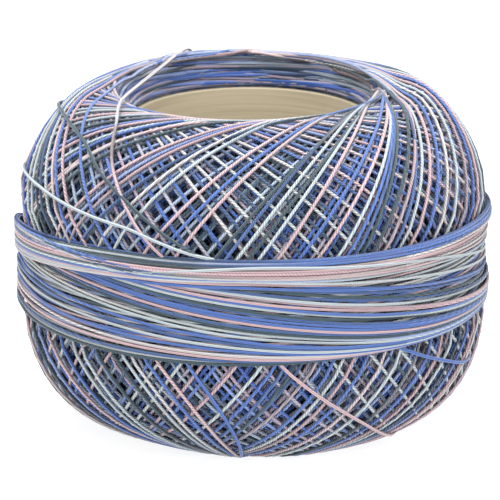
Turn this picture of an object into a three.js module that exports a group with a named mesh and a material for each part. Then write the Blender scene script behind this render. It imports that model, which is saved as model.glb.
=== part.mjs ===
// A ball of fine cotton crochet thread, cross-wound on a short cardboard tube.
// Millimetres, +Z up along the tube. The origin is the middle of the flat ring that the ball rests on.
//
// The ball is wound from slanted turns. Each turn lies in a plane through the ball's centre,
// touches the rim of the hole at the top on one side and at the bottom on the other, and the
// next turn is laid a little further round. So two families of turns cross at every place.
// At the end a band of level turns is wound round the waist, to hold the rest in place.
import * as THREE from "three";

// Driving dimensions
const BODY_RADIUS = 30.9; // cross-wound body at its widest
const UPPER_HEIGHT = 24.3; // half height that the body's round form would have, above the waist
const LOWER_HEIGHT = 24.6; // and below it
const FULLNESS = 3.2; // exponent of the round form: 2 is an ellipse, more has fuller shoulders
const CREST_RADIUS = 18.6; // highest ring of the rim round the hole
const CREST_HEIGHT = 22.6; // above the ball's centre
const FLAT_DEPTH = 22.3; // the flat ring that it rests on, below the ball's centre
const LEAN = 0.03; // sideways shift for each millimetre of height: the ball stands a little askew

const TUBE_INNER_RADIUS = 15.4;
const TUBE_WALL = 0.9;
const TUBE_LENGTH = 36.4;
const TUBE_CHAMFER = 0.25;
const PIECE_GAP = 0.3;
const LIP_OVER_TUBE = 0.6; // the wound rim reaches inwards over the tube's end

// The rim in section, from its outside over the crest to its inner slope
const UPPER_RIM = [
  { inwards: -0.8, down: 0.14 },
  { inwards: 0, down: 0 },
  { inwards: 0.7, down: 0.25 },
  { inwards: 1.2, down: 0.95 },
  { inwards: 1.7, down: 2.1 },
];
// The same from the lower rim's inner slope to the flat ring; up is the height above that ring
const LOWER_RIM = [
  { inwards: 1.7, up: 1.9 },
  { inwards: 1.2, up: 0.7 },
  { inwards: 0.7, up: 0 },
  { inwards: -1.5, up: 0 },
];

const BAND_HEIGHT = 13.4;
const BAND_THICKNESS = 0.6;
const BAND_RIDGES = 7; // groups of level turns that stand out in the band
const BAND_RIDGE_DEPTH = 0.28;
const BAND_LEVEL = 0.5; // height of the band's middle above the ball's centre
const BAND_TILT = 0.4; // the band's middle is this much higher on the right, lower on the left
const SHIFT_FADE = 14; // the body's rows follow the band's tilt, less and less up to this far from it
const BAND_EDGE = 0.35; // width of the band's sloping edge
const BAND_SINK = 0.15; // the sloping edge ends this far under the body's surface

const BUNDLES = 20; // bundles of slanted turns that stand out, in each family
const COLUMNS_EACH = 3; // columns of vertices for each bundle
const UPPER_BUNDLE = 0.34; // how far a bundle of the family on top stands out
const LOWER_BUNDLE = 0.18; // and one of the family that it crosses
const FLAT_FADE = 3.0; // bundles fade over this height above the flat ring
const LEAST_ROW = 0.25; // rows of the body nearer than this to the flat ring or the band are left out

const COLUMNS = BUNDLES * COLUMNS_EACH;
const SLANT = Math.atan2(CREST_HEIGHT, CREST_RADIUS); // slope of each turn's plane
const FIRST_ROW = 4; // rows nearest the rim, where the two families run side by side, are left out
const TUBE_SEGMENTS = 96;

const smooth = THREE.MathUtils.smoothstep;

// Distance from the ball's centre to the round form, at an angle above the waist's plane
function formRadius(angle) {
  const height = angle >= 0 ? UPPER_HEIGHT : LOWER_HEIGHT;
  const out = Math.cos(angle) / BODY_RADIUS;
  const up = Math.abs(Math.sin(angle)) / height;
  return Math.pow(Math.pow(out, FULLNESS) + Math.pow(up, FULLNESS), -1 / FULLNESS);
}

// The round form's point at an angle above the waist's plane
function formPoint(angle) {
  const r = formRadius(angle);
  return { r: r * Math.cos(angle), z: r * Math.sin(angle) };
}

// How far round a slanted turn has come at a point, counted in half columns from its highest point
function turnStep(r, z) {
  return (Math.acos(z / (r * Math.tan(SLANT))) / Math.PI) * COLUMNS;
}

// Rows of the cross-wound body: each lies half a column further round than the last, so that
// edges run along both families of turns
function bodyRows() {
  const rows = [];
  for (let k = COLUMNS - FIRST_ROW; k >= FIRST_ROW; k -= 1) {
    const share = Math.cos((k * Math.PI) / COLUMNS);
    const { r, z } = formPoint(Math.atan(share * Math.tan(SLANT)));
    rows.push({ r, z, step: k, kind: "body" });
  }
  return rows;
}

// Rows of the band of level turns: a ridge and a groove in turn between its two edges
function bandRows() {
  const rows = [];
  const count = BAND_RIDGES * 2;
  const lowest = -BAND_HEIGHT / 2;
  for (let k = 0; k <= count; k += 1) {
    const z = lowest + (k * BAND_HEIGHT) / count;
    const groove = k % 2 === 0 ? BAND_RIDGE_DEPTH : 0;
    const r = BODY_RADIUS + BAND_THICKNESS - groove;
    rows.push({ r, z, step: turnStep(r, z), kind: "band" });
  }
  return rows;
}

// One of the two rows where the band slopes down to the body
function bandEdge(row, side) {
  const r = BODY_RADIUS - BAND_SINK;
  const z = row.z + side * BAND_EDGE;
  return { r, z, step: turnStep(r, z), kind: "band" };
}

// All rows of the wound solid, from the flat ring up its outside, over the rim and down the bore
function woundRows() {
  const band = bandRows();
  const bottomEdge = bandEdge(band[0], -1);
  const topEdge = bandEdge(band.at(-1), 1);
  const outside = CREST_RADIUS - UPPER_RIM[0].inwards;
  const body = bodyRows().filter((row) => row.z > LEAST_ROW - FLAT_DEPTH && row.r > outside);
  const lower = body.filter((row) => row.z < bottomEdge.z - LEAST_ROW);
  const upper = body.filter((row) => row.z > topEdge.z + LEAST_ROW);

  const bore = TUBE_INNER_RADIUS + TUBE_WALL + PIECE_GAP;
  const lip = bore - LIP_OVER_TUBE;
  const tubeTop = TUBE_LENGTH / 2 + PIECE_GAP;
  const rim = [
    ...UPPER_RIM.map(({ inwards, down }) => [CREST_RADIUS - inwards, CREST_HEIGHT - down]),
    [lip, tubeTop],
    [bore, tubeTop],
    [bore, 0],
    [bore, -tubeTop],
    [lip, -tubeTop],
    ...LOWER_RIM.map(({ inwards, up }) => [CREST_RADIUS - inwards, up - FLAT_DEPTH]),
  ].map(([r, z]) => ({ r, z, step: upper.at(-1).step - 1, kind: "rim" }));
  // The first row repeats the last, a whole number of columns further round
  const last = rim.at(-1);
  const columnsRound = Math.round((lower[0].step + 1 - last.step) / 2);
  const first = { ...last, step: last.step + 2 * columnsRound };
  return [first, ...lower, bottomEdge, ...band, topEdge, ...upper, ...rim];
}

// How far the bundles of slanted turns stand out at a vertex of the body
function bundleHeight(column, row) {
  const onTop = column % COLUMNS_EACH === 0;
  const beneath = (column + row.step) % COLUMNS_EACH === 0;
  const height = onTop ? UPPER_BUNDLE : beneath ? LOWER_BUNDLE : 0;
  return height * smooth(row.z + FLAT_DEPTH, LEAST_ROW, FLAT_FADE);
}

// Height of the band's middle at an angle round the ball, fading out towards the rims
function bandShift(angle, z) {
  const middle = BAND_LEVEL + BAND_TILT * Math.cos(angle);
  const away = Math.max(0, Math.abs(z) - BAND_HEIGHT / 2 - BAND_EDGE);
  return middle * (1 - smooth(away, 0, SHIFT_FADE));
}

// The wound solid: a closed lathe form whose rows are turned and raised along the turns
function woundGeometry() {
  const rows = woundRows();
  const profile = rows.map(({ r, z }) => new THREE.Vector2(r, z));
  const geometry = new THREE.LatheGeometry(profile, COLUMNS);
  const position = geometry.getAttribute("position");
  for (let i = 0; i <= COLUMNS; i += 1) {
    const column = i % COLUMNS;
    rows.forEach((row, j) => {
      const angle = (((2 * column + row.step) % (2 * COLUMNS)) * Math.PI) / COLUMNS;
      const raised = row.kind === "body" ? bundleHeight(column, row) : 0;
      const r = row.r + raised;
      const z = row.kind === "rim" ? row.z : row.z + bandShift(angle, row.z);
      position.setXYZ(i * rows.length + j, r * Math.cos(angle) - LEAN * z, r * Math.sin(angle), z);
    });
  }
  return geometry;
}

// The cardboard tube, with its cut ends slightly rounded, askew with the ball
function tubeGeometry() {
  const inner = TUBE_INNER_RADIUS;
  const outer = TUBE_INNER_RADIUS + TUBE_WALL;
  const end = TUBE_LENGTH / 2;
  const profile = [
    [inner, -end + TUBE_CHAMFER],
    [inner + TUBE_CHAMFER, -end],
    [outer - TUBE_CHAMFER, -end],
    [outer, -end + TUBE_CHAMFER],
    [outer, end - TUBE_CHAMFER],
    [outer - TUBE_CHAMFER, end],
    [inner + TUBE_CHAMFER, end],
    [inner, end - TUBE_CHAMFER],
    [inner, -end + TUBE_CHAMFER],
  ].map(([r, z]) => new THREE.Vector2(r, z));
  const geometry = new THREE.LatheGeometry(profile, TUBE_SEGMENTS);
  geometry.rotateX(Math.PI / 2);
  const position = geometry.getAttribute("position");
  for (let k = 0; k < position.count; k += 1) {
    position.setX(k, position.getX(k) - LEAN * position.getZ(k));
  }
  return geometry;
}

const cotton = new THREE.MeshStandardMaterial({ color: 0x8a9cc0, roughness: 0.75, metalness: 0 });
const cardboard = new THREE.MeshStandardMaterial({ color: 0xb3a58a, roughness: 0.9, metalness: 0 });

const threadBall = new THREE.Mesh(woundGeometry(), cotton);
threadBall.name = "thread_ball";

const coreTube = new THREE.Mesh(tubeGeometry(), cardboard);
coreTube.name = "core_tube";

const ball = new THREE.Group();
ball.name = "ball_of_thread";
ball.add(threadBall, coreTube);
ball.position.z = FLAT_DEPTH;

export default ball;
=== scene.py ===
# %% [markdown]
# A ball of fine crochet thread
#
# This ball is one long cotton thread, wound on a short cardboard tube. A machine lays it in slanted
# turns that cross each other, moves a little further round with every turn, and ends with a band of
# nearly level turns round the waist. The thread changes colour slowly along its length.
#
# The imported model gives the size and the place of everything. Its wound solid is plain, so the lesson
# winds the thread again, turn by turn, as real tubes. That way the gaps between the turns are real too,
# and you can look through them at the turns underneath.

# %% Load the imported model
import math

import bmesh
import bpy
import numpy as np
from mathutils import Matrix, Vector


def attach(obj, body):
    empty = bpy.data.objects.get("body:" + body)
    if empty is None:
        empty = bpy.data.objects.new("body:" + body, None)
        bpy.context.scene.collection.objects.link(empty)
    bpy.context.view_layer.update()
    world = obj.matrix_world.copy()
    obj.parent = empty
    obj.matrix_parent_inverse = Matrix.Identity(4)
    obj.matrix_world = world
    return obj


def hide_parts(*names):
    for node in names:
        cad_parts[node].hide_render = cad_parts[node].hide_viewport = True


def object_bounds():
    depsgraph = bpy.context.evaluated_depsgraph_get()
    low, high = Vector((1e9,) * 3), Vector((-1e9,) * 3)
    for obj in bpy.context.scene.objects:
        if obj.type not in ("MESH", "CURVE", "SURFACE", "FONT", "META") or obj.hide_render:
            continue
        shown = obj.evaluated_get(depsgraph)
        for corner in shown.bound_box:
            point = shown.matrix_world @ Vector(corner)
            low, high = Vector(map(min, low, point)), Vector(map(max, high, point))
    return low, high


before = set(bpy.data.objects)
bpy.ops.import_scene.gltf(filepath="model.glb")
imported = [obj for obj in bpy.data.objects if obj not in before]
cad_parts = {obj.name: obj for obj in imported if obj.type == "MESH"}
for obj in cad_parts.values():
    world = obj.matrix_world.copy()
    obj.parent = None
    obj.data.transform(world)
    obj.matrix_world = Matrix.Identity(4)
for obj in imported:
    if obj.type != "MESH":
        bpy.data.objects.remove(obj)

cad_low, cad_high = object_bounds()
print("packed model, mm:", [round(1000 * (high - low), 1) for low, high in zip(cad_low, cad_high)])

# %% [markdown]
# Sizes
#
# The script works in millimetres and scales to metres when a mesh is made. The round form is a
# superellipse, which is an ellipse with fuller shoulders. Heights are counted from the ball's middle,
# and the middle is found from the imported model, whose highest ring is the rim round the hole.

# %% Name the sizes
MM = 0.001
BODY_RADIUS = 30.9  # the cross-wound body at its widest
UPPER_HEIGHT = 24.3  # half height of the round form above the waist
LOWER_HEIGHT = 24.6  # and below it
FULLNESS = 3.2  # 2 is an ellipse
CREST_HEIGHT = 22.6  # the rim's highest ring, above the middle
FLAT_DEPTH = 22.3  # the flat ring that it rests on, below the middle
LEAN = 0.03  # sideways shift for each millimetre of height
THREAD = 0.44  # thickness of the thread
TUBE_INNER = 15.4
TUBE_OUTER = 16.3
TUBE_HALF = 18.2  # half the tube's length

MIDDLE_HEIGHT = cad_high[2] / MM - CREST_HEIGHT
print("the ball's middle is %.1f mm above the table" % MIDDLE_HEIGHT)

# %% [markdown]
# The camera
#
# The photograph was taken from a little above, with a long lens. Setting the camera first makes it easy
# to compare each step with the photograph.

# %% Place the camera
CAMERA_DISTANCE = 800.0
CAMERA_ELEVATION = math.radians(16.5)
LENS = 433.0
AIM_LEFT = 0.49  # the ball sits this far right of the picture's middle


def placed(name, data):
    """A new object in the scene."""
    made = bpy.data.objects.new(name, data)
    bpy.context.scene.collection.objects.link(made)
    return made


camera_data = bpy.data.cameras.new("camera")
camera_data.lens = LENS
camera_data.sensor_width = 36.0
camera_data.clip_end = 10.0
camera = placed("camera", camera_data)
aim = Vector((-AIM_LEFT, 0.0, MIDDLE_HEIGHT)) * MM
backwards = Vector((0.0, -math.cos(CAMERA_ELEVATION), math.sin(CAMERA_ELEVATION)))
camera.location = aim + backwards * CAMERA_DISTANCE * MM
camera.rotation_euler = backwards.to_track_quat("Z", "Y").to_euler()
bpy.context.scene.camera = camera
print("camera at, mm:", [round(c / MM) for c in camera.location])

# %% [markdown]
# The round form and its rim
#
# A point on the ball is named by its latitude, the angle above the waist seen from the middle. Each
# turn is nearly flat and goes through the middle of the ball, so its latitude follows from how far
# round it has come. Near the hole a flat turn would cut across the opening. A real turn can't, so it
# bends and runs along the rim for a while. A soft minimum of two angles does that.

# %% Work out the round form
RIM_LATITUDE = 51.0  # latitude of the rim's crest, in degrees
RIM_FALL = 0.42  # degrees that the rim is lower for each millimetre of depth
RIM_SOFTNESS = 0.9  # degrees over which a turn bends on to the rim
LIP_ANGLE = 1.0  # degrees from the crest to the inner edge of the lip
LIP_DROP = 1.6  # mm that the lip rounds down by there
LIP_REACH = 3.0  # degrees of latitude over which the lip rounds


def form_radius(latitude):
    """Distance from the middle to the round form, for latitudes in radians."""
    height = np.where(latitude >= 0, UPPER_HEIGHT, LOWER_HEIGHT)
    out = np.cos(latitude) / BODY_RADIUS
    up = np.abs(np.sin(latitude)) / height
    return (out**FULLNESS + up**FULLNESS) ** (-1 / FULLNESS)


def smooth(value, low, high):
    """0 below low, 1 above high, and an even rise between."""
    share = np.clip((value - low) / (high - low), 0, 1)
    return share * share * (3 - 2 * share)


def soft_minimum(a, b, softness):
    """The smaller of two values, with a rounded change from one to the other."""
    return -softness * np.logaddexp(-a / softness, -b / softness)


FLOOR_CLEAR = 0.55 * THREAD  # a thread's middle line stays this far above the floor
FLOOR_SOFTNESS = 0.12  # mm over which it bends on to the floor
TUBE_CLEAR = 0.3  # beside the tube it stays this far outside it
TUBE_OVERHANG = 0.45  # past the tube's ends it may reach this far inwards over the wall


def clear_of_floor_and_tube(around, radius, height, free=0.0):
    """Keeps a thread's middle line above the floor and outside the tube; where free is 1 only the first."""
    height = -soft_minimum(-height, FLAT_DEPTH - FLOOR_CLEAR, FLOOR_SOFTNESS)
    beside_tube = 1 - smooth(np.abs(height) - TUBE_HALF, 0.2, 0.6)
    least = TUBE_OUTER - TUBE_OVERHANG + (TUBE_OVERHANG + TUBE_CLEAR) * beside_tube
    radius = np.maximum(radius, least * (1 - free))
    x = radius * np.cos(around) - LEAN * height
    return np.stack([x, radius * np.sin(around), height], axis=1)


rim_angle = math.radians(RIM_LATITUDE)
print("crest radius: %.1f mm" % (form_radius(rim_angle) * math.cos(rim_angle)))

# %% [markdown]
# From a line to a thread
#
# A thread is a tube along a line. Blender can bevel a curve, but a curve with hundreds of turns can't
# carry the numbers that the dye and the twist need. So this helper builds one joined mesh from arrays:
# a ring of points at each step of the line, quads between the rings, and a cap at each end. It writes
# two UV maps. The first, "thread", has the place along the dyed thread and the place round it. The
# second lays the whole thread out in strips, so that its colours can be baked.

# %% Write the tube helper
CORE_RADIUS = 21.5  # radius of a core line inside the wound thread, from which outwards is counted
CORE_HEIGHT = 12.0  # it also follows a point this far up and down
MAP_MARGIN = 0.002  # bare border at the ends of the baking map's strips
STRIP_MARGIN = 0.04  # and between them, as a share of a strip


def steady(vectors):
    """Vectors of length 1."""
    return vectors / np.linalg.norm(vectors, axis=1, keepdims=True)


def outwards(path):
    """The way out of the ball's thick ring at each point: from a core line inside the wound thread."""
    ring = path[:, :2] * (CORE_RADIUS / np.hypot(path[:, 0], path[:, 1]))[:, None]
    level = np.clip(path[:, 2], -CORE_HEIGHT, CORE_HEIGHT)
    return path - np.column_stack([ring, level])


def thread_rings(path, width, sides, closed=False):
    """The rings of points round a path, flat side by side, with the first point facing outwards."""
    if closed:
        along = np.roll(path, -1, axis=0) - np.roll(path, 1, axis=0)
    else:
        along = np.gradient(path, axis=0)
    along = steady(along)
    across = steady(np.cross(along, outwards(path)))
    out = np.cross(across, along)
    angle = 2 * np.pi * np.arange(sides) / sides
    ring = np.cos(angle)[:, None] * out[:, None, :] + np.sin(angle)[:, None] * across[:, None, :]
    return path[:, None, :] + 0.5 * width * ring


def strip_map(faces, count, strips, sides):
    """Where each corner of each quad lies in the baking map: strips of equal length, one above another."""
    per_strip = math.ceil(count / strips)
    step, side = faces
    strip = step // per_strip
    place = (step - strip * per_strip) / per_strip
    u = np.stack([place, place, place + 1 / per_strip, place + 1 / per_strip], axis=1)
    v = np.stack([side, side + 1, side + 1, side], axis=1) / sides
    u = MAP_MARGIN + (1 - 2 * MAP_MARGIN) * u
    v = STRIP_MARGIN + (1 - 2 * STRIP_MARGIN) * v
    return np.stack([u, (strip[:, None] + v) / strips], axis=2)


def thread_mesh(name, runs, strips):
    """A joined mesh of several runs of thread. A run is (path, dye place, width, sides, closed)."""
    points, quads, caps, thread_uv, baking_uv = [], [], [], [], []
    total = sum(len(run[0]) for run in runs)
    start = done = 0
    for path, dye, width, sides, closed in runs:
        count = len(path)
        points.append(thread_rings(path, width, sides, closed).reshape(-1, 3))
        steps = count if closed else count - 1
        grid = np.meshgrid(np.arange(steps), np.arange(sides), indexing="ij")
        step, side = [numbers.ravel() for numbers in grid]
        here, after = step * sides, (step + 1) % count * sides
        beside = (side + 1) % sides
        quads.append(start + np.stack([here + side, here + beside, after + beside, after + side], axis=1))
        far = np.append(dye, 2 * dye[-1] - dye[-2])
        u = np.stack([far[step], far[step], far[step + 1], far[step + 1]], axis=1)
        v = np.stack([side, side + 1, side + 1, side], axis=1) / sides
        thread_uv.append(np.stack([u, v], axis=2))
        baking_uv.append(strip_map((done + step, side), total, strips, sides))
        if not closed:
            caps.append(start + np.arange(sides)[::-1])
            caps.append(start + (count - 1) * sides + np.arange(sides))
        start += count * sides
        done += count
    quads = np.concatenate(quads)
    corner_list = np.concatenate([quads.ravel()] + caps) if caps else quads.ravel()
    sizes = np.array([4] * len(quads) + [len(cap) for cap in caps])

    mesh = bpy.data.meshes.new(name)
    mesh.vertices.add(start)
    mesh.vertices.foreach_set("co", (np.concatenate(points) + [0, 0, MIDDLE_HEIGHT]).ravel() * MM)
    mesh.loops.add(len(corner_list))
    mesh.loops.foreach_set("vertex_index", corner_list)
    mesh.polygons.add(len(sizes))
    mesh.polygons.foreach_set("loop_start", np.concatenate([[0], np.cumsum(sizes)[:-1]]))
    mesh.polygons.foreach_set("use_smooth", np.ones(len(sizes), bool))
    for label, parts in [("thread", thread_uv), ("OFBake", baking_uv)]:
        values = np.zeros((len(corner_list), 2))
        values[: 4 * len(quads)] = np.concatenate(parts).reshape(-1, 2)
        for index, cap in enumerate(caps):
            first = 4 * len(quads) + sum(len(c) for c in caps[:index])
            values[first : first + len(cap)] = values[0] if index % 2 == 0 else values[4 * len(quads) - 1]
        mesh.uv_layers.new(name=label).uv.foreach_set("vector", values.ravel())
    mesh.update(calc_edges=True)
    piece = placed(name, mesh)
    print("%s: %d triangles" % (name, 2 * len(quads) + sum(len(cap) - 2 for cap in caps)))
    return piece


# %% [markdown]
# The dye
#
# The thread is dyed in long stretches that run into each other: blue, slate green, salmon pink, cream,
# pale mint, and blue again. One such repeat is about two turns of the ball. Each colour name below is a
# place along the repeat, so that a table can say which colour a turn has where it shows.

# %% Chart the dye's repeat
DYE_PLACES = {
    "blue": 0.04, "dusk": 0.15, "slate": 0.26, "rose": 0.40, "pink": 0.50, "cream": 0.64, "mint": 0.78,
    "lilac": 0.91,
}
DYE_PER_TURN = 0.52  # share of the repeat that one turn takes
DYE_COLOURS = [  # the place along the repeat, and the colour there
    (0.00, (0.085, 0.170, 0.520)),
    (0.10, (0.105, 0.215, 0.560)),
    (0.17, (0.055, 0.105, 0.240)),
    (0.23, (0.045, 0.085, 0.110)),
    (0.31, (0.062, 0.102, 0.118)),
    (0.36, (0.300, 0.290, 0.330)),
    (0.42, (0.560, 0.385, 0.415)),
    (0.51, (0.680, 0.470, 0.490)),
    (0.61, (0.690, 0.610, 0.600)),
    (0.70, (0.580, 0.635, 0.630)),
    (0.82, (0.530, 0.610, 0.650)),
    (0.90, (0.370, 0.455, 0.740)),
    (0.97, (0.110, 0.205, 0.560)),
]
print("one repeat of the dye lasts %.1f turns" % (1 / DYE_PER_TURN))

# %% [markdown]
# The slanted turns
#
# Where a slanted turn shows on the front, its place is charted: the direction in which it
# touches the upper rim, counted in degrees round the ball, its slant, and its colour. All the turns
# before those are laid by rule: a fixed step round for each, with small irregularities. The ball grows a
# little with each round of turns, so an earlier turn lies deeper.

# %% Chart the turns that show on the front
TURNS_A_ROUND = 76.4
GROWTH = 0.62  # mm that the ball's radius grows with each round of turns
ROUNDS = 8.6

# Rising to the right across the front, from the left rim to the right shoulder
RISING = [
    (238.5, 52.5, "mint"), (243.2, 53.0, "cream"), (248.0, 52.5, "pink"), (252.6, 53.2, "mint"),
    (257.3, 52.6, "slate"),
    (262.0, 52.5, "lilac"), (266.0, 53.5, "pink"), (270.0, 53.0, "mint"), (273.5, 54.0, "blue"),
    (277.0, 53.0, "pink"), (279.5, 54.5, "cream"), (281.8, 53.4, "slate"),
    (293.0, 53.2, "pink"), (296.2, 53.3, "lilac"), (299.0, 54.0, "rose"), (302.0, 52.0, "dusk"),
    (309.3, 55.5, "cream"), (314.4, 56.5, "mint"),
    (322.5, 54.2, "pink"), (326.2, 53.6, "blue"), (331.0, 55.0, "pink"),
    (340.0, 52.5, "slate"), (343.2, 54.4, "dusk"), (345.6, 53.8, "mint"), (348.2, 53.0, "slate"),
    (351.2, 54.1, "mint"), (356.4, 55.2, "pink"), (360.6, 52.2, "blue"), (365.6, 52.3, "pink"),
    (371.4, 54.0, "mint"), (374.2, 55.0, "blue"), (376.6, 55.8, "dusk"), (378.8, 56.5, "slate"),
    (380.9, 54.0, "slate"), (384.6, 54.4, "rose"), (388.4, 57.4, "dusk"), (390.8, 57.2, "mint"),
    (394.0, 56.8, "pink"), (397.8, 56.6, "blue"), (403.0, 57.0, "cream"), (408.0, 56.6, "mint"),
    (414.5, 57.0, "rose"), (419.0, 56.0, "blue"), (423.6, 56.0, "pink"), (428.5, 55.0, "mint"),
    (433.0, 54.0, "slate"), (438.0, 53.0, "blue"), (443.0, 54.0, "pink"), (447.0, 52.0, "cream"),
]

# Falling to the right across the left of the front. The last column is how far the turn's lower end is
# drawn back round the ball, in degrees, because the last turns were laid slack
FALLING = [
    (455.0, 53.0, "slate", 0), (460.2, 53.5, "lilac", 0), (466.0, 52.0, "pink", 0),
    (473.0, 54.0, "blue", 10), (478.5, 54.5, "mint", 18), (482.0, 55.0, "mint", 20),
    (487.0, 53.0, "slate", 25), (491.7, 50.0, "slate", 32), (495.0, 50.5, "mint", 38),
    (498.2, 52.0, "cream", 40), (501.5, 50.5, "blue", 42), (505.0, 51.5, "pink", 45),
    (513.6, 53.3, "blue", 60),
]
SHOWS_RISING = 290 / 360  # share of the turn where a rising turn shows
SHOWS_FALLING = 100 / 360
print("charted turns: %d rising, %d falling" % (len(RISING), len(FALLING)))

# %% [markdown]
# The tables and the rule give numbers at whole turns. Between them everything changes evenly, so the
# whole winding is one unbroken thread, and its colour too.

# %% Join the rule and the tables into one winding
USUAL_SLANT = 52.6
START_WAVE, START_SCATTER = 0.8, 0.35  # degrees by which the steps round are uneven
SLANT_WAVE, SLANT_SCATTER = 1.6, 0.9  # and the slants
FIRST_DYE = 0.13
DYE_DRIFT = 0.02  # the repeats of the dye aren't all of one length

draw = np.random.default_rng(5)
step_round = 360 / TURNS_A_ROUND
ruled = int(ROUNDS * TURNS_A_ROUND) - len(RISING) - len(FALLING)
first_charted = RISING[0][0]

number = np.arange(ruled)
ruled_start = first_charted - step_round * (ruled - number) + START_WAVE * np.sin(number * 2.1)
ruled_start += draw.normal(0, START_SCATTER, ruled)
ruled_slant = USUAL_SLANT + SLANT_WAVE * np.sin(number * 0.37) + draw.normal(0, SLANT_SCATTER, ruled)
ruled_dye = FIRST_DYE + DYE_PER_TURN * number + DYE_DRIFT * np.sin(number * 0.11) * number**0.5

charted = [(ruled + k, row, SHOWS_RISING) for k, row in enumerate(RISING)]
charted += [(ruled + len(RISING) + k, row, SHOWS_FALLING) for k, row in enumerate(FALLING)]
turn_places = [k + 0.5 for k in number] + [k + shows for k, row, shows in charted]
turn_starts = list(ruled_start) + [row[0] for k, row, shows in charted]
turn_slants = list(ruled_slant) + [row[1] for k, row, shows in charted]
turn_drawn = [0] * (ruled + len(RISING)) + [row[3] for row in FALLING]
turn_dyes = list(ruled_dye)
for (k, row, shows), place, before in zip(charted, turn_places[ruled:], turn_places[ruled - 1 :]):
    wanted = DYE_PLACES[row[2]]
    expected = turn_dyes[-1] + DYE_PER_TURN * (place - before)
    turn_dyes.append(wanted + round(expected - wanted))
turn_count = ruled + len(charted)
print("turns: %d by rule, %d charted" % (ruled, len(charted)))


# %% [markdown]
# Swellings and dents
#
# A real ball isn't quite the round form. Its shoulders swell here and sink there, and the band presses
# the waist in. Each such place is a soft hill or hollow, chosen against the outline. A bell curve
# round the ball and an even rise up the ball are enough for that, and they leave no edge.

# %% Write the swellings
BAND_MIDDLE = 0.6  # height of the pressed waist above the ball's middle
PRESSED_IN = 0.78  # mm that the band presses the waist in
PRESSED_MORE = 0.05  # and more on the right, less on the left
# Middle and spread in azimuth, the latitudes between which it grows, and by how many mm
SWELLINGS = [
    (262.0, 60.0, 42.0, 50.0, 0.28), (150.0, 50.0, 42.0, 50.0, 0.20), (14.0, 38.0, 28.0, 42.0, 0.65),
    (0.0, 50.0, 3.0, 12.0, 0.70), (180.0, 60.0, 3.0, 12.0, 0.60), (188.0, 30.0, -8.0, -20.0, 0.40),
    (232.0, 28.0, -30.0, -45.0, -0.35), (278.0, 16.0, -38.0, -48.0, 0.35),
    (180.0, 60.0, 14.0, 28.0, -0.65), (180.0, 60.0, 33.0, 42.0, 0.42), (72.0, 30.0, 42.0, 50.0, -0.12),
    (4.0, 42.0, 43.0, 49.0, -0.9), (185.0, 32.0, 44.0, 50.0, -0.6),
]


def degrees_past(around, azimuth):
    """How far round a place is from an azimuth, from -180 to 180 degrees."""
    return (around - azimuth + 180) % 360 - 180


def nearness(around, azimuth, spread):
    """1 in the direction of an azimuth, and less and less to both sides; all in degrees."""
    return np.exp(-((degrees_past(around, azimuth) / spread) ** 2))


def swelling(around, latitude):
    """How far the turns stand out from the round form, in mm, for angles in degrees."""
    height = BODY_RADIUS * np.sin(np.radians(latitude))
    beyond_band = smooth(np.abs(height - BAND_MIDDLE), 6.5, 8.0)
    out = (beyond_band - 1) * (PRESSED_IN + PRESSED_MORE * np.cos(np.radians(around)))
    for azimuth, spread, starts, full, amount in SWELLINGS:
        out += amount * nearness(around, azimuth, spread) * smooth(latitude, starts, full)
    return out


print("hills and hollows:", len(SWELLINGS))

# %% [markdown]
# The winding's path
#
# Now the path of any stretch of the winding can be worked out. Where two turns of nearly the same age
# cross near a rim, the later one must lie on top. It is lifted there, and the earlier one pressed in.
# On the rim itself many turns lie side by side and on each other, so each gets a place of its own:
# nearer to the hole or farther from it, and higher or lower in the pile. Steps of an irrational share
# spread those places evenly without ever repeating them.
#
# The end of the winding is less tidy. The last turns lie on top of the pile and hang less far over the
# lip. The very last are slack: their lower ends are drawn back, they leave the rim and cross the corner
# of the hole in the air. And at the back right the turns pile up to a small peak.

# %% Work out the winding's path
CROSSING_LIFT = 0.11  # mm that a turn lies higher or lower where others cross it near a rim
LIP_SHARE = 0.618  # step from one turn's place across the rim to the next one's
CROSS_SHARE = 0.472  # step between the ways in which they cross the rim
PILE_SHARE = 0.755  # step between their places up the pile
RIM_PILE = 0.55  # mm between the lowest and the highest turn of a pile on the rim
CROSSED = 0.9  # how far a turn moves across the lip in 30 degrees along it
LAST_TURNS = 78  # these come to lie on top of the pile
LAST_NEARER = 0.2  # share by which they hang less far over the lip
FRONT_NEARER = 0.6  # and by how much less within a quarter circle of the rim's front
RIM_FRONT = 262.0  # the azimuth of that front
FREE_TURNS = 30  # so many of the last turns may reach over the edge of the hole,
FREE_TOP = 5.0  # by up to so many degrees
CORNER_TURNS = 11  # and of these the last reach farther over its left corner,
CORNER_REACH = 4.0  # by so many degrees more
MOST_DRAWN = 60.0  # degrees that the lower end of the very last turn is drawn back
DRAWN_REACH = 2.5  # degrees that this end comes nearer to the lower hole
WANDER = 0.04 / 30  # radians that a turn strays sideways
# The peak: its place, how high it is, how many degrees its turns come nearer to the hole, and the
# directions of the first and the last turn that take part
PEAK = {
    "azimuth": 346.0, "spread": 16.0, "height": 0.2, "reach": 1.2, "from_turn": 338.0, "to_turn": 388.0,
}


def among_last(place, turns, change=3):
    """0 before the last so many turns and 1 in them, with an even change over a few turns."""
    return smooth(place, turn_count - turns, turn_count - turns + change)


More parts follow.
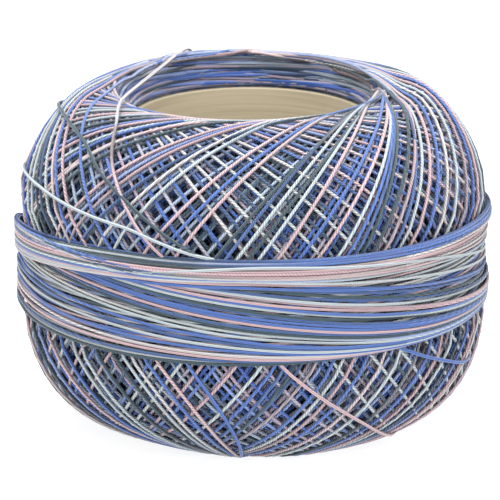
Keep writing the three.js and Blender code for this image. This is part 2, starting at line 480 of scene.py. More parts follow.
def winding(first, last, steps):
    """Path and dye of the turns from first to last, with that many steps a turn."""
    place = np.linspace(first, last, int(round((last - first) * steps)) + 1)
    start = np.interp(place, turn_places, turn_starts)
    slant = np.radians(np.interp(place, turn_places, turn_slants))
    drawn = np.interp(place, turn_places, turn_drawn) / MOST_DRAWN
    dye = np.interp(place, turn_places, turn_dyes)
    depth = GROWTH * (turn_count - place) / TURNS_A_ROUND
    came = 2 * np.pi * (place % 1)
    turned = np.degrees(came)
    # A slack turn is drawn back in its lower half, and most at its lowest point
    drawn *= smooth(turned, 100, 180) * (1 - smooth(turned, 180, 260))
    around = start - MOST_DRAWN * drawn + turned
    plane = np.degrees(np.arctan(np.tan(slant) * np.cos(came)))
    upper = plane > 0
    along_rim = (turned + 90) % 180 - 90

    # Its place on the rim: lip goes from 0 on the crest to 1 at the inner edge, pile from 0 to 1 upwards
    at_rim = np.floor(2 * place + 0.5)
    on_top = among_last(place, LAST_TURNS, 6)
    front = smooth(np.abs(around % 360 - RIM_FRONT), 110, 90) * upper
    lip = at_rim * LIP_SHARE % 1 + CROSSED * (at_rim * CROSS_SHARE % 1 - 0.5) * along_rim / 30
    lip = np.clip(lip, 0, 1) * (1 - on_top * (LAST_NEARER + FRONT_NEARER * front))
    pile = (at_rim * PILE_SHARE % 1) * (1 - on_top) + on_top
    over_corner = among_last(place, CORNER_TURNS) * np.exp(-((along_rim / 50) ** 2)) * upper
    plane += CORNER_REACH * over_corner
    lip += (0.55 - lip) * over_corner

    # The latitude at which it has to bend on to the rim
    limit = RIM_LATITUDE - RIM_FALL * depth + LIP_ANGLE * np.maximum(lip, 0.7 * on_top)
    limit += FREE_TOP * among_last(place, FREE_TURNS) * upper + DRAWN_REACH * drawn

    # On the peak the turns come together at the middle of the lip, and past it they go down inside
    in_peak = smooth(start, PEAK["from_turn"] - 3, PEAK["from_turn"]) * upper
    in_peak *= 1 - smooth(start, PEAK["to_turn"], PEAK["to_turn"] + 3)
    at_peak = in_peak * nearness(around, PEAK["azimuth"], PEAK["spread"])
    limit += PEAK["reach"] * at_peak
    lip += (0.5 - lip) * at_peak
    lip = np.maximum(lip, 1.1 * in_peak * smooth(degrees_past(around, PEAK["azimuth"]), 2, 14))

    # The path itself: a latitude, and a distance from the ball's middle
    latitude = np.sign(plane) * soft_minimum(np.abs(plane), limit, RIM_SOFTNESS * (1 + 3 * drawn))
    near_rim = smooth(np.abs(latitude), limit - LIP_REACH, limit)
    radians = np.radians(latitude)
    out = form_radius(radians) - depth - 0.5 * THREAD
    out += (RIM_PILE * (pile - 0.7) - LIP_DROP * lip) * near_rim
    out -= CROSSING_LIFT * np.sin(2 * came)
    out += swelling(around, latitude) + PEAK["height"] * at_peak * near_rim
    radians += WANDER * np.sin(came * 3 + place * 1.7)
    path = clear_of_floor_and_tube(np.radians(around), out * np.cos(radians), out * np.sin(radians))
    return path, dye


# %% [markdown]
# Winding the ball
#
# The outer turns are close to the eye, so they get eight sides and many steps. The deeper ones show
# only through the gaps and get fewer. Each run is a piece of its own, well under the limit for a mesh.

# %% Wind the slanted turns
# A name, the newest and the oldest turns counted in rounds from the outside, steps a turn, and sides
RUNS = [
    ("turns_outer", 0.0, 0.95, 96, 8),
    ("turns_second", 0.95, 2.1, 90, 7),
    ("turns_third", 2.1, 4.0, 72, 6),
    ("turns_fourth", 4.0, 6.2, 60, 5),
    ("turns_inner", 6.2, ROUNDS - 0.05, 48, 4),
]
thread_pieces = []
for name, newest, oldest, steps, sides in RUNS:
    first = turn_count - oldest * TURNS_A_ROUND
    last = turn_count - newest * TURNS_A_ROUND
    path, dye = winding(first, last, steps)
    strips = int(round(last - first))
    thread_pieces.append(thread_mesh(name, [(path, dye, THREAD, sides, False)], strips))

# %% [markdown]
# The loose turns
#
# A few of the last turns lie slack across the others on the front. Each is a closed loop through a few
# listed places: azimuth and latitude in degrees, and a colour from some of them on. It goes down
# to the right across the front, under the band, and up again at the back. It lies on top, raised by so
# many mm, only between the azimuths under "shows", and is tucked under the other turns elsewhere. A
# spline joins the places in space, and wherever it would sink into the ball it is pushed out to the
# surface. Over the hole nothing holds it, so there it runs straight through the air.

# %% Lay the loose turns
LOOSE_STEPS = 240
TUCKED = 0.6  # mm that a loose turn lies deeper where the other turns cover it
UNDER_BAND = 0.5  # mm that it lies deeper at the waist
OVER_RIM = 0.5  # mm that it lies higher on the pile at the rim
LOOSE_TURNS = [
    {
        "raised": 0.30,
        "shows": [(208, 262), (277, 323), (470, 600)],
        "colours": [(221, "cream"), (229, "pink"), (455, "cream")],
        "places": [(221, 43), (229, 33), (238, 23), (244, 17), (260, 2), (277, -13), (284, -19),
                   (298, -29), (314, -39), (328, -43.5), (345, -45), (375, -41), (405, -28),
                   (435, -2), (455, 24), (470, 43), (477, 50.5), (568, 51.3)],
    },
    {
        "raised": 0.34,
        "shows": [(171, 346)],
        "colours": [(174, "slate"), (292, "blue"), (450, "slate")],
        "places": [(174, 37.5), (192, 39), (205, 38), (215, 36), (227, 30), (241, 23), (252, 17),
                   (275, 5), (292, -5), (309, -12), (322, -17), (335, -21), (350, -23.5), (380, -24),
                   (415, -15), (450, 2), (485, 22), (512, 33)],
    },
    {
        "raised": 0.38,
        "shows": [(185, 262)],
        "colours": [(186, "mint")],
        "places": [(186, 22), (206, 22), (218, 21), (229, 20), (239, 19), (247, 17), (257, 14.6),
                   (270, 13), (300, 10), (340, 2), (390, -2), (440, 3), (490, 14), (525, 20)],
    },
]


def closed_spline(values, count):
    """Even points on a closed smooth line that goes through all the values."""
    place = np.linspace(0, len(values), count, endpoint=False)
    index, part = place.astype(int), (place % 1)[:, None]
    a, b, c, d = (values[(index + offset) % len(values)] for offset in (-1, 0, 1, 2))
    bend = (2 * a - 5 * b + 4 * c - d) * part**2 + (3 * b - a - 3 * c + d) * part**3
    return 0.5 * (2 * b + (c - a) * part + bend)


loose_runs = []
for turn in LOOSE_TURNS:
    along, latitude = np.array(turn["places"]).T
    shown = sum(smooth(along, a - 4, a) * (1 - smooth(along, b, b + 4)) for a, b in turn["shows"])
    around, latitude = np.radians(along), np.radians(latitude)
    raised = (turn["raised"] + TUCKED) * shown - TUCKED
    out = form_radius(latitude) - 0.5 * THREAD + raised
    colour_starts, colours = zip(*turn["colours"])
    colour_now = np.searchsorted(colour_starts, along, side="right") - 1
    dye = np.array([DYE_PLACES[colours[index]] for index in colour_now])
    places = [out * np.cos(latitude) * np.cos(around), out * np.cos(latitude) * np.sin(around)]
    places += [out * np.sin(latitude), dye, raised]
    x, y, height, dye, raised = closed_spline(np.stack(places, axis=1), LOOSE_STEPS).T
    across = np.hypot(x, y)
    latitude = np.arctan2(height, across)
    slope = np.degrees(latitude)
    beside_band = 1 - smooth(np.abs(slope), 11.5, 14.5)
    least = form_radius(latitude) - 0.5 * THREAD + raised - UNDER_BAND * beside_band
    least += swelling(np.degrees(np.arctan2(y, x)), slope)
    least += OVER_RIM * smooth(slope, 43, 50)
    over_hole = smooth(slope, RIM_LATITUDE, RIM_LATITUDE + 1.5)
    stretch = (1 - over_hole) * least / np.hypot(across, height) + over_hole
    path = clear_of_floor_and_tube(np.arctan2(y, x), across * stretch, height * stretch, over_hole)
    if over_hole.max() > 0.5:
        over = np.flatnonzero(over_hole > 0)
        ends = path[over[0] - 1], path[(over[-1] + 1) % LOOSE_STEPS]
        path[over] = np.linspace(*ends, len(over) + 2)[1:-1]
    for _ in range(3):  # this rounds off the corners where the line meets the surface
        path = (np.roll(path, 1, axis=0) + 2 * path + np.roll(path, -1, axis=0)) / 4
    loose_runs.append((path, dye, THREAD, 8, True))
thread_pieces.append(thread_mesh("turns_loose", loose_runs, 3))

# %% [markdown]
# The band
#
# The band holds the ball together. Its first wraps are level and lie side by side. Over them goes a fan
# of wraps that sink to the right across the front, then a bundle along the upper edge, and last a few
# that are highest at the front. The table charts those that show, one row a wrap: its heights at the
# left, front and right, with two places between, and its colour. Where the dye changes on the way
# across the front, a second colour is the one on the right.

# %% Chart the wraps
SIDES = {"left": 180, "left_front": 225, "front": 270, "right_front": 315, "right": 360}
BAND_HEAD = (4.9, 7.1, 7.5, 7.35, 7.1)  # the band's upper edge at those sides
BAND_FOOT = (-6.3, -6.4, -6.5, -6.0, -5.3)  # and its lower edge
LEVEL_WRAPS = 31
LEVEL_COLOURS = [  # the uppermost level wraps, from the top down: they show between the others
    "blue", "blue", "lilac", "mint", "cream", "pink", "pink", "slate", "pink", "mint", "slate", "cream",
    "mint", "blue",
]
FAN = [
    (-6.2, -6.3, -6.5, -6.0, -5.2, "slate"),
    (-5.0, -5.4, -6.1, -6.0, -5.3, "dusk"),
    (-4.0, -4.7, -5.7, -5.9, -5.3, "pink"),
    (-3.2, -4.0, -5.3, -5.9, -5.2, "cream"),
    (-2.2, -3.3, -4.8, -5.8, -5.2, "blue"),
    (-1.5, -2.3, -4.3, -5.7, -5.2, "mint"),
    (-0.8, -1.5, -3.9, -5.6, -5.1, "dusk"),
    (0.0, -0.8, -3.5, -5.4, -5.1, "blue"),
    (1.5, 0.2, -2.9, -5.2, -5.1, "mint"),
    (2.2, 0.8, -2.4, -4.9, -5.0, "cream", "lilac"),
    (3.1, 1.5, -1.9, -4.6, -5.0, "slate"),
    (3.4, 2.0, -1.5, -4.3, -4.9, "dusk"),
    (3.8, 2.5, -1.1, -4.0, -4.9, "pink"),
    (4.2, 3.0, -0.6, -3.6, -4.8, "blue"),
    (4.6, 3.5, -0.2, -3.3, -4.7, "blue"),
    (4.9, 3.9, 0.3, -2.9, -4.6, "dusk"),
    (5.1, 4.2, 0.75, -2.5, -4.4, "slate"),
    (5.2, 4.6, 1.2, -2.2, -4.2, "mint"),
    (5.4, 4.9, 1.6, -1.9, -4.0, "blue"),
    (5.6, 5.2, 2.05, -1.5, -3.8, "pink"),
    (5.8, 5.5, 2.5, -1.1, -3.6, "rose"),
    (6.0, 5.7, 2.9, -0.6, -3.2, "mint"),
    (6.1, 5.9, 3.3, -0.1, -2.7, "dusk"),
    (6.2, 6.0, 3.75, 0.4, -2.2, "slate"),
    (6.2, 6.1, 4.2, 1.1, -1.7, "dusk"),
    (6.3, 6.3, 4.7, 1.7, -1.2, "blue"),
    (4.9, 7.0, 7.45, 7.3, 7.0, "slate", "blue"),
    (4.6, 6.75, 7.2, 7.0, 6.6, "mint", "blue"),
    (4.3, 6.5, 6.9, 6.65, 6.2, "slate", "blue"),
    (4.0, 6.2, 6.6, 6.3, 5.7, "dusk", "cream"),
    (3.6, 5.9, 6.3, 5.9, 5.1, "pink"),
    (3.2, 5.6, 6.0, 5.5, 4.5, "pink", "rose"),
    (2.8, 5.3, 5.7, 5.1, 3.9, "slate", "cream"),
    (2.5, 5.0, 5.4, 4.7, 3.3, "mint", "pink"),
    (2.2, 4.7, 5.1, 4.3, 2.6, "blue", "mint"),
    (1.9, 4.4, 4.7, 3.0, -0.4, "pink"),
    (1.5, 4.0, 4.2, 1.8, -1.2, "blue"),
    (1.2, 4.0, 5.25, 3.1, -0.2, "cream", "mint"),
    (1.6, 4.1, 7.2, 5.5, 0.6, "mint"),
]
DYE_PER_WRAP = 0.35
print("wraps: %d level, %d charted" % (LEVEL_WRAPS, len(FAN)))

# %% [markdown]
# Between the charted directions a wrap's height changes evenly, and a short running mean rounds it off.
# The back isn't charted: each wrap hangs a little between its right end and the next one's left end.
# Just behind the left side all the upper wraps dip, because there the wraps are pulled together.

# %% Work out the wraps' heights
WRAP_STEPS = 120
ROUNDING = 15  # steps of the running mean
BACK_DROP = 2.0  # mm that the wraps hang lower in the middle of the back
LEFT_DIP = {"azimuth": 159.0, "spread": 14.0, "depth": 2.6}  # the dip behind the left side, in mm
EDGE_SOFTNESS = 0.08  # mm over which a wrap settles against the band's edge
WRAP_WANDER = 0.05  # mm that a wrap strays up and down


def edge_chart(edge):
    """Azimuths from 0 to a full circle, and the height of one of the band's edges there."""
    back = (edge[0] + edge[-1]) / 2 - BACK_DROP
    return np.radians([0, 90, 180, 225, 270, 315, 360]), [edge[-1], back, *edge]


wrap_places, wrap_heights = [], []
for wrap in range(LEVEL_WRAPS):
    for azimuth, foot, head in zip(SIDES.values(), BAND_FOOT, BAND_HEAD):
        wrap_places.append(wrap + azimuth / 360)
        wrap_heights.append(foot + (head - foot) * wrap / (LEVEL_WRAPS - 1))
for wrap, row in enumerate(FAN, start=LEVEL_WRAPS):
    for azimuth, height in zip(SIDES.values(), row):
        wrap_places.append(wrap + azimuth / 360)
        wrap_heights.append(height)
wraps = LEVEL_WRAPS + len(FAN)
for end in range(4, len(wrap_places) - 1, 5):
    wrap_places.append(wrap_places[end] + 0.25)
    wrap_heights.append((wrap_heights[end] + wrap_heights[end + 1]) / 2 - BACK_DROP)
order = np.argsort(wrap_places)
wrap_places, wrap_heights = np.array(wrap_places)[order], np.array(wrap_heights)[order]
place = np.arange(wraps * WRAP_STEPS + 1) / WRAP_STEPS + 0.5
azimuth = 2 * np.pi * place
height = np.interp(place, wrap_places, wrap_heights)
window = np.hanning(ROUNDING + 2)[1:-1]
padded = np.pad(height, ROUNDING // 2, mode="edge")
height = np.convolve(padded, window / window.sum(), mode="valid")
height += WRAP_WANDER * np.sin(azimuth * 3 + place * 2.3)
head = np.interp(azimuth % (2 * np.pi), *edge_chart(BAND_HEAD))
foot = np.interp(azimuth % (2 * np.pi), *edge_chart(BAND_FOOT))
height = soft_minimum(-soft_minimum(-height, -foot, EDGE_SOFTNESS), head, EDGE_SOFTNESS)
behind_left = nearness(np.degrees(azimuth), LEFT_DIP["azimuth"], LEFT_DIP["spread"])
height -= LEFT_DIP["depth"] * behind_left * smooth(height, 0, 4)
print("wraps in the band:", wraps)

# %% [markdown]
# A wrap rests on what is under it. A grid of heights round the waist remembers how high the middle of a
# thread must lie at each place to clear those already there. A new wrap is laid on that. It is tight, so
# where it leaves a high place it runs on straight, in a tangent, until it meets the ball again: that is
# the largest share of a bend that the ball's own roundness gives back.
#
# The band isn't quite upright either. It leans out at the upper right and at the lower left.

# %% Lay the wraps on each other
CELL = 0.03  # mm of height for each cell of the grid
WRAP_WIDTH = 0.39  # a wrap is pulled tight, so it is thinner than a slanted turn
PRESSED = 0.6  # threads that lie on each other press together, to this share of their thickness
MOST_RISE = 1.35  # mm that the highest wraps lie from the body
REST_CLEAR = 0.02  # mm between the first wraps' middle line and the pressed waist
BAND_LEAN = 0.14  # mm that the band leans out for each mm of height
SETTLED = 0.4  # share by which the pile of wraps is flatter at the lower right
cells = np.arange(min(BAND_FOOT) - 1, max(BAND_HEAD) + 1, CELL)
ground = np.zeros((WRAP_STEPS, len(cells)))
rise = np.zeros(len(place))
step_length = 2 * np.pi * BODY_RADIUS / WRAP_STEPS
give = step_length**2 / (2 * BODY_RADIUS)
columns = np.arange(WRAP_STEPS)
for wrap in range(wraps):
    part = slice(wrap * WRAP_STEPS, (wrap + 1) * WRAP_STEPS)
    nearest = np.round((height[part] - cells[0]) / CELL).astype(int)
    resting = ground[columns, nearest]
    tight = resting
    for _ in range(40):  # steps enough for a tangent to reach from one high place to the next
        tight = np.maximum(resting, (np.roll(tight, 1) + np.roll(tight, -1)) / 2 - give)
    rise[part] = soft_minimum(tight, MOST_RISE, 0.05)
    away = np.abs(cells[None, :] - height[part][:, None]) / THREAD
    beside = np.sqrt(np.clip(1 - away**2, 0, 1)) * THREAD * PRESSED
    ground = np.maximum(ground, np.where(away < 1, rise[part][:, None] + beside, 0))
rise[-1] = rise[-2]
rise = np.convolve(np.pad(rise, 3, mode="edge"), np.ones(7) / 7, mode="valid")
latitude = np.arctan2(height, BODY_RADIUS)
around_radius = form_radius(latitude) * np.cos(latitude) + REST_CLEAR + rise
around_radius -= PRESSED_IN + PRESSED_MORE * np.cos(azimuth)
lean_out = height * np.cos(azimuth)
around_radius += BAND_LEAN * np.maximum(lean_out, 0)
around_radius -= SETTLED * rise * np.clip(-lean_out / 5, 0, 1) * (np.cos(azimuth) > 0)
x = around_radius * np.cos(azimuth) - LEAN * height
band_path = np.stack([x, around_radius * np.sin(azimuth), height], axis=1)
print("the band's wraps lie %.2f to %.2f mm from the body" % (rise.min(), rise.max()))

# %% [markdown]
# The wraps' colours follow the table on the front, and the dye runs on evenly from one to the next.

# %% Colour the wraps and make the band
LEVEL_SEEN = 0.87  # the share of a level wrap at which its colour is charted, right of the front
FIRST_SEEN = 0.64  # and the shares at which a charted wrap's two colours are, left of the front
SECOND_SEEN = 0.86  # and right of it
HIDDEN_DYE = (0.31, 0.545)  # the dye at the first wrap, and how far it goes on with each hidden one
by_rule = LEVEL_WRAPS - len(LEVEL_COLOURS)
dye_places = [wrap + LEVEL_SEEN for wrap in range(LEVEL_WRAPS)]
dyes = [HIDDEN_DYE[0] + HIDDEN_DYE[1] * wrap for wrap in range(by_rule)]
for colour in LEVEL_COLOURS[::-1]:
    wanted = DYE_PLACES[colour]
    dyes.append(wanted + round(dyes[-1] + DYE_PER_WRAP - wanted))
for wrap, row in enumerate(FAN, start=LEVEL_WRAPS):
    for seen, colour, drift in [(FIRST_SEEN, row[5], DYE_PER_WRAP), (SECOND_SEEN, row[-1], 0.0)]:
        wanted = DYE_PLACES[colour]
        dye_places.append(wrap + seen)
        dyes.append(wanted + round(dyes[-1] + drift - wanted))
band_dye = np.interp(place, dye_places, dyes)
half = LEVEL_WRAPS * WRAP_STEPS
runs = [("band_lower", slice(0, half + 1), 6), ("band_upper", slice(half, None), 9)]
for name, part, sides in runs:
    run = (band_path[part], band_dye[part], WRAP_WIDTH, sides, False)
    thread_pieces.append(thread_mesh(name, [run], len(FAN)))

# %% [markdown]
# The heart of the ball
#
# Under the last modelled turns there is more thread, too deep to see singly. A spun solid stands for it:
# its section is drawn as a short closed line of points and turned round the tube's axis.

# %% Spin the heart
HEART_DEPTH = GROWTH * ROUNDS - 0.1  # just under the deepest turns
HEART_LATITUDE = 44.0  # it reaches so many degrees up and down
HEART_CLEAR = 0.3  # mm between it and the tube
heart_section = []
for angle in np.radians(np.linspace(-HEART_LATITUDE, HEART_LATITUDE, 33)):
    out = float(form_radius(angle)) - HEART_DEPTH
    heart_section.append((out * math.cos(angle), out * math.sin(angle)))
heart_bore = TUBE_OUTER + HEART_CLEAR
heart_section += [(heart_bore, heart_section[-1][1]), (heart_bore, heart_section[0][1])]


def spun_piece(name, section, steps):
    """A closed ring-shaped solid: the section, a list of (radius, height), is spun round the axis."""
    made = bmesh.new()
    corners = [made.verts.new((radius * MM, 0, height * MM)) for radius, height in section]
    edges = [made.edges.new((a, b)) for a, b in zip(corners, corners[1:] + corners[:1])]
    bmesh.ops.spin(
        made, geom=corners + edges, cent=(0, 0, 0), axis=(0, 0, 1), angle=2 * math.pi, steps=steps,
        use_merge=True,
    )
    bmesh.ops.remove_doubles(made, verts=made.verts, dist=1e-7)
    bmesh.ops.recalc_face_normals(made, faces=made.faces)
    shear = Matrix.Identity(4)
    shear[0][2] = -LEAN
    bmesh.ops.transform(made, matrix=shear, verts=made.verts)
    bmesh.ops.translate(made, vec=(0, 0, MIDDLE_HEIGHT * MM), verts=made.verts)
    for face in made.faces:
        face.smooth = True
    mesh = bpy.data.meshes.new(name)
    made.to_mesh(mesh)
    made.free()
    piece = placed(name, mesh)
    print("%s: %d faces" % (name, len(mesh.polygons)))
    return piece


heart = spun_piece("wound_heart", heart_section, 128)

# %% [markdown]
# The cardboard tube
#
# The tube is wound from a strip of grey-brown board. Only its inner wall shows, through the hole. Its cut
# ends are a little rounded, so the section has a small arc at each corner.

# %% Spin the tube
ROUNDED = 0.22  # mm that the cut edges are rounded by
tube_corners = [  # radius, height, and the direction in which the corner's arc starts
    (TUBE_OUTER, TUBE_HALF, 0), (TUBE_INNER, TUBE_HALF, 90), (TUBE_INNER, -TUBE_HALF, 180),
    (TUBE_OUTER, -TUBE_HALF, 270),
]
tube_section = []
for radius, height, turn in tube_corners:
    across = radius + (ROUNDED if radius == TUBE_INNER else -ROUNDED)
    level = height - math.copysign(ROUNDED, height)
    for angle in np.radians(np.linspace(turn, turn + 90, 5)):
        tube_section.append((across + ROUNDED * math.cos(angle), level + ROUNDED * math.sin(angle)))
core = spun_piece("cardboard_tube", tube_section, 128)

# %% [markdown]
# Helpers for the finishes
#
# A finish is a net of nodes, and most of them are placed and linked in the same few ways. These helpers
# do that, so that the cells after them say only what a finish is made of.

# %% Write the node helpers


def node(tree, kind, place, **values):
    """A new node with its settings, at a place in the editor."""
    made = tree.nodes.new(kind)
    made.location = place
    for key, value in values.items():
        setattr(made, key, value)
    return made


def feed(tree, value, socket):
    """Gives a socket a value, which is a number or another socket."""
    if isinstance(value, (int, float)):
        socket.default_value = value
    else:
        tree.links.new(value, socket)


def maths(tree, operation, place, *values):
    """A Math node of one or two values, which are sockets or numbers."""
    made = node(tree, "ShaderNodeMath", place, operation=operation)
    for value, socket in zip(values, made.inputs):
        feed(tree, value, socket)
    return made.outputs[0]


def multiplied(tree, place, colour, tint, share):
    """A colour multiplied by a tint, as far as the share says."""
    made = node(tree, "ShaderNodeMix", place, data_type="RGBA", blend_type="MULTIPLY")
    feed(tree, share, made.inputs["Factor"])
    tree.links.new(colour, made.inputs[6])
    made.inputs[7].default_value = (*tint, 1.0)
    return made.outputs[2]


def looked_up(tree, place, value, stops):
    """The colour of a ramp at a value; each stop is a position and a colour."""
    made = node(tree, "ShaderNodeValToRGB", place)
    elements = made.color_ramp.elements
    for index, (position, colour) in enumerate(stops):
        stop = elements[index] if index < 2 else elements.new(position)
        stop.position = position
        stop.color = (*colour, 1.0)
    tree.links.new(value, made.inputs["Fac"])
    return made.outputs["Color"]


def bumped(tree, shader, height, strength):
    """Gives a shader a fine relief of that height."""
    relief = node(tree, "ShaderNodeBump", (-240, -300))
    relief.inputs["Strength"].default_value = strength
    relief.inputs["Distance"].default_value = 0.0001
    tree.links.new(height, relief.inputs["Height"])
    tree.links.new(relief.outputs["Normal"], shader.inputs["Normal"])


def plain_material(name, roughness):
    """A new material with a shader alone; returns it with its tree and shader."""
    material = bpy.data.materials.new(name)
    material.use_nodes = True
    shader = material.node_tree.nodes["Principled BSDF"]
    shader.inputs["Roughness"].default_value = roughness
    return material, material.node_tree, shader


# %% [markdown]
# The thread's finish
#
# Crochet cotton is three plies twisted hard, with a soft shine. The plies show as slanting beads along
# the thread. They are a wave in the thread's own UV map: it climbs along the thread and goes three times
# round it. The same wave gives the grooves their shade and the bump its height. The sides of a thread
# lie in its neighbours' shade, so they are darkened too: a place faces outwards by 1 on top and by -1
# underneath, and Edge says where the dark is full. All this is one node group, which each thread
# material uses with its own depth.

# %% Make the ply group
PLIES = 3
BEADS_A_REPEAT = 300.0  # how often a ply comes round in one repeat of the dye
GROOVE_POWER = 1.6  # more makes the grooves narrower
GROOVE_DARK = 0.8
LIT_TOP = 0.95  # a place that faces outwards by this much is in full light

ply = bpy.data.node_groups.new("ply twist", "ShaderNodeTree")
for way, labels in [("INPUT", ["Along", "Round", "Edge"]), ("OUTPUT", ["Height", "Shade"])]:
    for label in labels:
        ply.interface.new_socket(label, in_out=way, socket_type="NodeSocketFloat")
into = node(ply, "NodeGroupInput", (-800, 0))
out_of = node(ply, "NodeGroupOutput", (600, 0))
climb = maths(ply, "MULTIPLY", (-600, 100), into.outputs["Along"], BEADS_A_REPEAT * PLIES)
circle = maths(ply, "MULTIPLY", (-600, -100), into.outputs["Round"], float(PLIES))
both = maths(ply, "ADD", (-400, 0), climb, circle)
wave = maths(ply, "SINE", (-50, 0), maths(ply, "MULTIPLY", (-220, 0), both, math.pi))
rounded = maths(ply, "ABSOLUTE", (120, 0), wave)
ply.links.new(rounded, out_of.inputs["Height"])
dip = maths(ply, "SUBTRACT", (200, -200), 1.0, rounded)
groove = maths(ply, "POWER", (280, -100), dip, GROOVE_POWER)
dark = maths(ply, "MULTIPLY", (280, -300), groove, GROOVE_DARK)
turn_round = maths(ply, "MULTIPLY", (-600, -300), into.outputs["Round"], 2 * math.pi)
outside = node(ply, "ShaderNodeMapRange", (-200, -300), interpolation_type="SMOOTHSTEP")
feed(ply, maths(ply, "COSINE", (-400, -300), turn_round), outside.inputs["Value"])
feed(ply, into.outputs["Edge"], outside.inputs["From Min"])
feed(ply, LIT_TOP, outside.inputs["From Max"])
clear = maths(ply, "SUBTRACT", (340, -250), 1.0, dark)
lit = maths(ply, "MULTIPLY", (420, -300), clear, outside.outputs[0])
ply.links.new(maths(ply, "SUBTRACT", (480, -100), 1.0, lit), out_of.inputs["Shade"])
print("sockets of the ply group:", [item.name for item in ply.interface.items_tree])

# %% [markdown]
# Each thread material reads the dye's place, wraps it to one repeat, and looks it up in a colour ramp.
# The grooves between the plies and the thread's sides are darker. A little slow noise makes the dye
# uneven, as real dye is. There are four: the deeper a turn lies, the less light reaches it, and the
# bluer that is. The band's wraps lie so close that more of their sides is in the dark.

# %% Make the thread materials
SHADE_TINT = (0.10, 0.12, 0.18)
UNEVEN_DYE = 0.05  # share of the repeat by which the noise moves the dye
# Light, depth of shade, bump, roughness, and the edge of the dark
FINISHES = {
    "outer_cotton": ((1.0, 1.0, 1.0), 0.7, 1.0, 0.55, -0.35),
    "band_cotton": ((1.0, 1.0, 1.0), 0.62, 1.0, 0.55, 0.1),
    "second_cotton": ((0.68, 0.77, 0.93), 0.6, 0.9, 0.6, -0.35),
    "deep_cotton": ((0.56, 0.68, 0.86), 0.5, 0.5, 0.75, -0.35),
}
FINISH_OF = {
    "turns_outer": "outer_cotton", "turns_loose": "outer_cotton",
    "band_lower": "band_cotton", "band_upper": "band_cotton",
    "turns_second": "second_cotton", "turns_third": "second_cotton",
    "turns_fourth": "deep_cotton", "turns_inner": "deep_cotton",
}


def thread_material(name, light, shading, bump, roughness, edge):
    """A cotton thread with the dye's repeat, for one depth of winding."""
    material, tree, shader = plain_material(name, roughness)
    thread_map = node(tree, "ShaderNodeUVMap", (-1000, 0), uv_map="thread")
    split = node(tree, "ShaderNodeSeparateXYZ", (-820, 0))
    tree.links.new(thread_map.outputs[0], split.inputs[0])
    coordinates = node(tree, "ShaderNodeTexCoord", (-1000, 300))
    noise = node(tree, "ShaderNodeTexNoise", (-820, 300))
    noise.inputs["Scale"].default_value = 900.0
    tree.links.new(coordinates.outputs["Object"], noise.inputs["Vector"])
    drift = maths(tree, "SUBTRACT", (-720, 420), noise.outputs["Fac"], 0.5)
    drift = maths(tree, "MULTIPLY", (-640, 300), drift, UNEVEN_DYE)
    dyed = maths(tree, "ADD", (-560, 120), split.outputs["X"], drift)
    repeat = maths(tree, "FRACT", (-460, 200), dyed)
    colour = looked_up(tree, (-300, 200), repeat, DYE_COLOURS)
    twist = node(tree, "ShaderNodeGroup", (-460, -100), node_tree=ply)
    feed(tree, split.outputs["X"], twist.inputs["Along"])
    feed(tree, split.outputs["Y"], twist.inputs["Round"])
    feed(tree, edge, twist.inputs["Edge"])
    shade = maths(tree, "MULTIPLY", (-120, 0), twist.outputs["Shade"], shading)
    shaded = multiplied(tree, (60, 200), colour, SHADE_TINT, shade)
    tree.links.new(multiplied(tree, (260, 200), shaded, light, 1.0), shader.inputs["Base Color"])
    bumped(tree, shader, twist.outputs["Height"], bump)
    shader.inputs["Sheen Weight"].default_value = 0.4
    shader.inputs["Sheen Roughness"].default_value = 0.4
    shader.inputs["Specular IOR Level"].default_value = 0.35
    return material


cottons = {name: thread_material(name, *finish) for name, finish in FINISHES.items()}
for piece in thread_pieces:
    piece.data.materials.append(cottons[FINISH_OF[piece.name]])
print("thread materials:", list(cottons))

# %% [markdown]
# The heart and the cardboard
#
# The heart is only seen as a dark ground behind the gaps, so painted shade does for its colour: slanting
# streaks of dark slate and blue. The board is beige, with long faint streaks along the paper.

# %% Make the other two materials
# The heart's colours are painted shade: the thread this deep is dyed like the outer turns, but lies in the
# dark.
HEART_SHADE_COLOURS = [(0.0, (0.020, 0.030, 0.045)), (1.0, (0.070, 0.110, 0.170))]
BOARD_COLOURS = [(0.3, (0.42, 0.355, 0.245)), (0.7, (0.52, 0.45, 0.32))]

material, tree, shader = plain_material("deep_turns", 0.9)
coordinates = node(tree, "ShaderNodeTexCoord", (-1000, 0))
streaks = node(tree, "ShaderNodeTexWave", (-700, 0), bands_direction="DIAGONAL")
streaks.inputs["Scale"].default_value = 260.0
streaks.inputs["Distortion"].default_value = 3.0
tree.links.new(coordinates.outputs["Object"], streaks.inputs["Vector"])
colour = looked_up(tree, (-400, 0), streaks.outputs["Fac"], HEART_SHADE_COLOURS)
tree.links.new(colour, shader.inputs["Base Color"])
heart.data.materials.append(material)

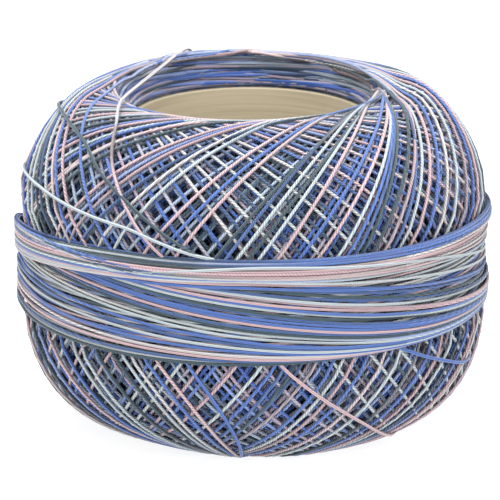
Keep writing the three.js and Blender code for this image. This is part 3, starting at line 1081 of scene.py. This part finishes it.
material, tree, shader = plain_material("cardboard", 0.85)
coordinates = node(tree, "ShaderNodeTexCoord", (-1200, 0))
stretch = node(tree, "ShaderNodeMapping", (-1000, 0))
stretch.inputs["Scale"].default_value = (0.15, 0.15, 6.0)
tree.links.new(coordinates.outputs["Object"], stretch.inputs["Vector"])
grain = node(tree, "ShaderNodeTexNoise", (-800, 0))
grain.inputs["Scale"].default_value = 320.0
grain.inputs["Detail"].default_value = 6.0
tree.links.new(stretch.outputs[0], grain.inputs["Vector"])
colour = looked_up(tree, (-560, 0), grain.outputs["Fac"], BOARD_COLOURS)
tree.links.new(colour, shader.inputs["Base Color"])
bumped(tree, shader, grain.outputs["Fac"], 0.3)
core.data.materials.append(material)
print("heart and board:", heart.active_material.name, core.active_material.name)

# %% [markdown]
# Joining the frame
#
# Every piece rides on the imported body and stands for the solid that it replaces.

# %% Tie the pieces to the frame
for piece in thread_pieces + [heart]:
    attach(piece, "root")
    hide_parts("thread_ball")
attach(core, "root")
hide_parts("core_tube")
print("pieces tied to the frame:", len(thread_pieces) + 2)

# %% [markdown]
# Light
#
# The photograph is bright and nearly shadowless: a white surround, a large soft light from above, and two
# weaker ones from the front. The floor is plain and pale, and shines a little itself, so that it stays
# white right up to the ball.

# %% Set the floor and the lights
floor_made = bmesh.new()
bmesh.ops.create_grid(floor_made, x_segments=1, y_segments=1, size=3.0)
floor_mesh = bpy.data.meshes.new("floor")
floor_made.to_mesh(floor_mesh)
floor_made.free()
floor = placed("floor", floor_mesh)
floor_material, tree, shader = plain_material("pale_floor", 0.9)
shader.inputs["Base Color"].default_value = (0.28, 0.28, 0.28, 1.0)
shader.inputs["Emission Color"].default_value = (1.0, 1.0, 1.0, 1.0)
shader.inputs["Emission Strength"].default_value = 0.85
floor.data.materials.append(floor_material)

world = bpy.data.worlds.new("studio")
world.use_nodes = True
world.node_tree.nodes["Background"].inputs["Color"].default_value = (1.0, 1.0, 1.0, 1.0)
world.node_tree.nodes["Background"].inputs["Strength"].default_value = 0.66
bpy.context.scene.world = world


def soft_light(name, place, size, power):
    """A square area light that faces the ball."""
    data = bpy.data.lights.new(name, "AREA")
    data.size = size
    data.energy = power
    light = placed(name, data)
    light.location = place
    light.rotation_euler = (Vector(place) - aim).to_track_quat("Z", "Y").to_euler()


soft_light("overhead", (-0.10, 0.05, 0.80), 0.6, 9.5)
soft_light("left", (-0.40, -0.70, 0.45), 0.5, 2.7)
soft_light("right", (0.55, -0.60, 0.40), 0.5, 3.4)
bpy.context.scene.view_settings.view_transform = "Standard"
